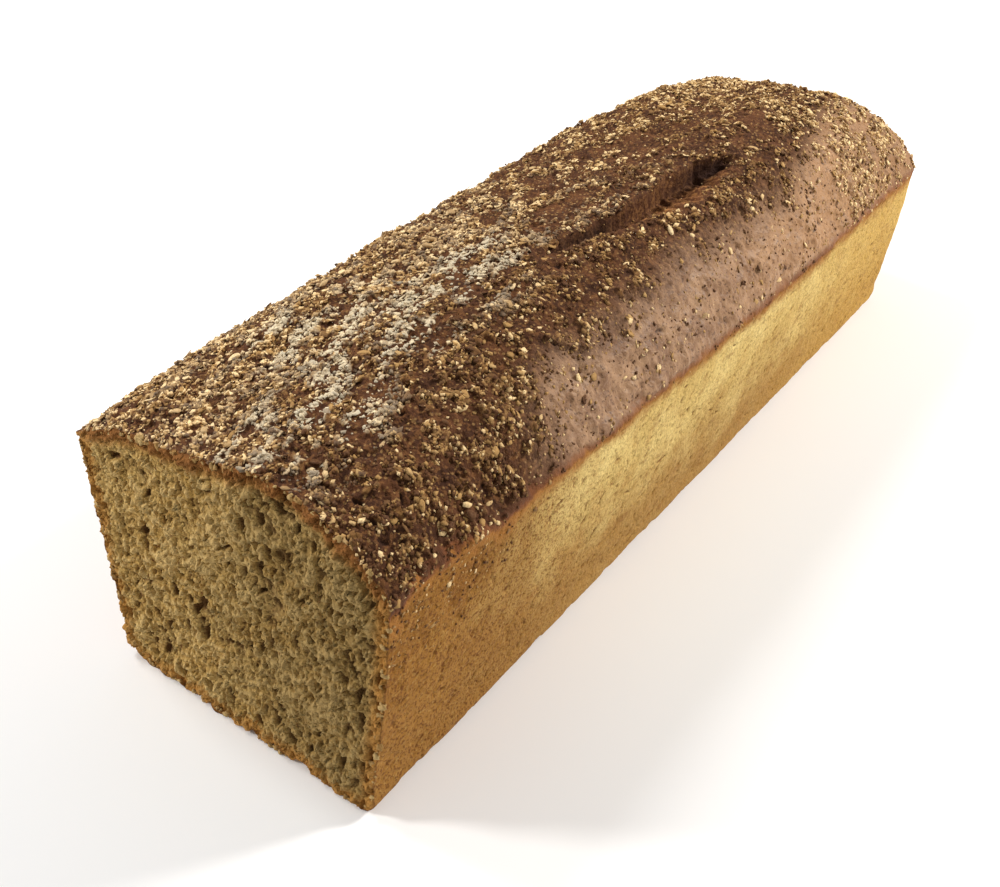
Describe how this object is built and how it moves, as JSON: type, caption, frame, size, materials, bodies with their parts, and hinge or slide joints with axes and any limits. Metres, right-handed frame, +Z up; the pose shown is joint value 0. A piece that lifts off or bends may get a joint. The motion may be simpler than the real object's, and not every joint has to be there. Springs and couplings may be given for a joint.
{
  "type": "tin loaf",
  "caption": "Wholemeal tin loaf: straight leaning sides, domed dark crust with a bran topping and a tear, one end rounded and the other cut square to show the crumb.",
  "frame": {"origin": "middle of the loaf's box in X and Y, on the surface it rests on", "axes": "+Y along the loaf from its cut face towards its rounded end, +Z up out of the base, +X to the right when looking at the loaf from its cut face"},
  "size_m": [0.115, 0.3382, 0.1029],
  "materials": {
    "crust": "matte to faintly satin red-brown top crust, baked hard and slightly wrinkled",
    "side_crust": "matte golden side crust with small dark pits where it rose against the tin",
    "crumb": "matte, moist, open-pored wholemeal crumb",
    "bran": "matte toasted bran flakes, grit and flour baked onto the top"
  },
  "bodies": {
    "root": {"loaf": "crust"}
  },
  "joints": []
}
